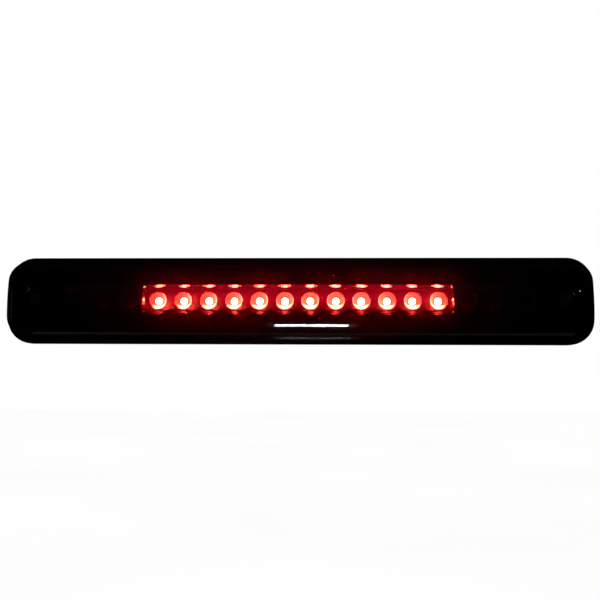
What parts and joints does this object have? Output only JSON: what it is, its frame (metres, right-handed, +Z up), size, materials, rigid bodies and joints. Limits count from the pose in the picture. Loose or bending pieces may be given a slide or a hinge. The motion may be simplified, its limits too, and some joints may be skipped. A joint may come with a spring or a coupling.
{
  "type": "third brake light",
  "caption": "Cab-mounted third brake light: smoked lens over a lit row of red lamps with unlit white cargo lamps on each side.",
  "frame": {"origin": "centre of the lamp's outline on the cab's face, the plane that the gasket's back presses on", "axes": "+X to the right seen from behind the vehicle, +Y forwards into the cab, +Z up; the lens faces -Y"},
  "size_m": [0.424, 0.058, 0.063],
  "materials": {
    "smoked_lens": "gloss",
    "shell": "satin",
    "bezel": "gloss",
    "reflector": "polished",
    "board": "satin",
    "red_lamp": "gloss",
    "white_lamp": "gloss",
    "foam": "matte",
    "rubber": "matte",
    "sealant": "satin",
    "steel": "satin",
    "terminal": "polished",
    "resistor": "satin",
    "red_insulation": "satin",
    "white_insulation": "satin",
    "black_insulation": "satin"
  },
  "bodies": {
    "lamp": {"lens": "smoked_lens", "lens_seal": "sealant", "housing": "shell", "mounting_gasket": "foam", "inner_bezel": "bezel", "brake_reflector": "reflector", "cargo_reflector_left": "reflector", "cargo_reflector_right": "reflector", "brake_board": "board", "cargo_board_left": "board", "cargo_board_right": "board", "inlet_shell": "shell", "inlet_seal": "rubber", "vent_cap": "rubber", "terminal_brake": "terminal", "terminal_ground": "terminal", "terminal_cargo": "terminal", "brake_feed_wire": "red_insulation", "ground_wire": "black_insulation", "cargo_feed_wire": "white_insulation", "cargo_link_left": "white_insulation", "cargo_link_right": "white_insulation", "brake_led_01": "red_lamp", "brake_led_02": "red_lamp", "brake_led_03": "red_lamp", "brake_led_04": "red_lamp", "brake_led_05": "red_lamp", "brake_led_06": "red_lamp", "brake_led_07": "red_lamp", "brake_led_08": "red_lamp", "brake_led_09": "red_lamp", "brake_led_10": "red_lamp", "brake_led_11": "red_lamp", "brake_led_12": "red_lamp", "cargo_led_left_1": "white_lamp", "cargo_led_left_2": "white_lamp", "cargo_led_left_3": "white_lamp", "cargo_board_screw_left": "steel", "cargo_resistor_left": "resistor", "screw_sleeve_left": "steel", "cargo_led_right_1": "white_lamp", "cargo_led_right_2": "white_lamp", "cargo_led_right_3": "white_lamp", "cargo_board_screw_right": "steel", "cargo_resistor_right": "resistor", "screw_sleeve_right": "steel", "brake_board_screw_1": "steel", "brake_board_screw_2": "steel", "bezel_screw_1": "steel", "brake_resistor_1": "resistor", "bezel_screw_2": "steel", "brake_resistor_2": "resistor", "bezel_screw_3": "steel", "brake_resistor_3": "resistor", "bezel_screw_4": "steel", "brake_resistor_4": "resistor"},
    "left_washer": {"sealing_washer_left": "rubber"},
    "left_screw": {"mounting_screw_left": "steel"},
    "right_washer": {"sealing_washer_right": "rubber"},
    "right_screw": {"mounting_screw_right": "steel"}
  },
  "joints": [
    {"name": "left_screw_travel", "type": "slide", "parent": "lamp", "child": "left_washer", "axis": [0, -1, 0], "range_m": [0, 0.0144]},
    {"name": "left_screw_turn", "type": "hinge", "parent": "left_washer", "child": "left_screw", "pos_m": [-0.19, 0, 0], "axis": [0, -1, 0], "range_deg": [0, 3241]},
    {"name": "right_screw_travel", "type": "slide", "parent": "lamp", "child": "right_washer", "axis": [0, -1, 0], "range_m": [0, 0.0144]},
    {"name": "right_screw_turn", "type": "hinge", "parent": "right_washer", "child": "right_screw", "pos_m": [0.19, 0, 0], "axis": [0, -1, 0], "range_deg": [0, 3241]}
  ],
  "couplings": [
    {"joint": "left_screw_turn", "follows": "left_screw_travel", "rad_per_m": 3927},
    {"joint": "right_screw_turn", "follows": "right_screw_travel", "rad_per_m": 3927}
  ]
}
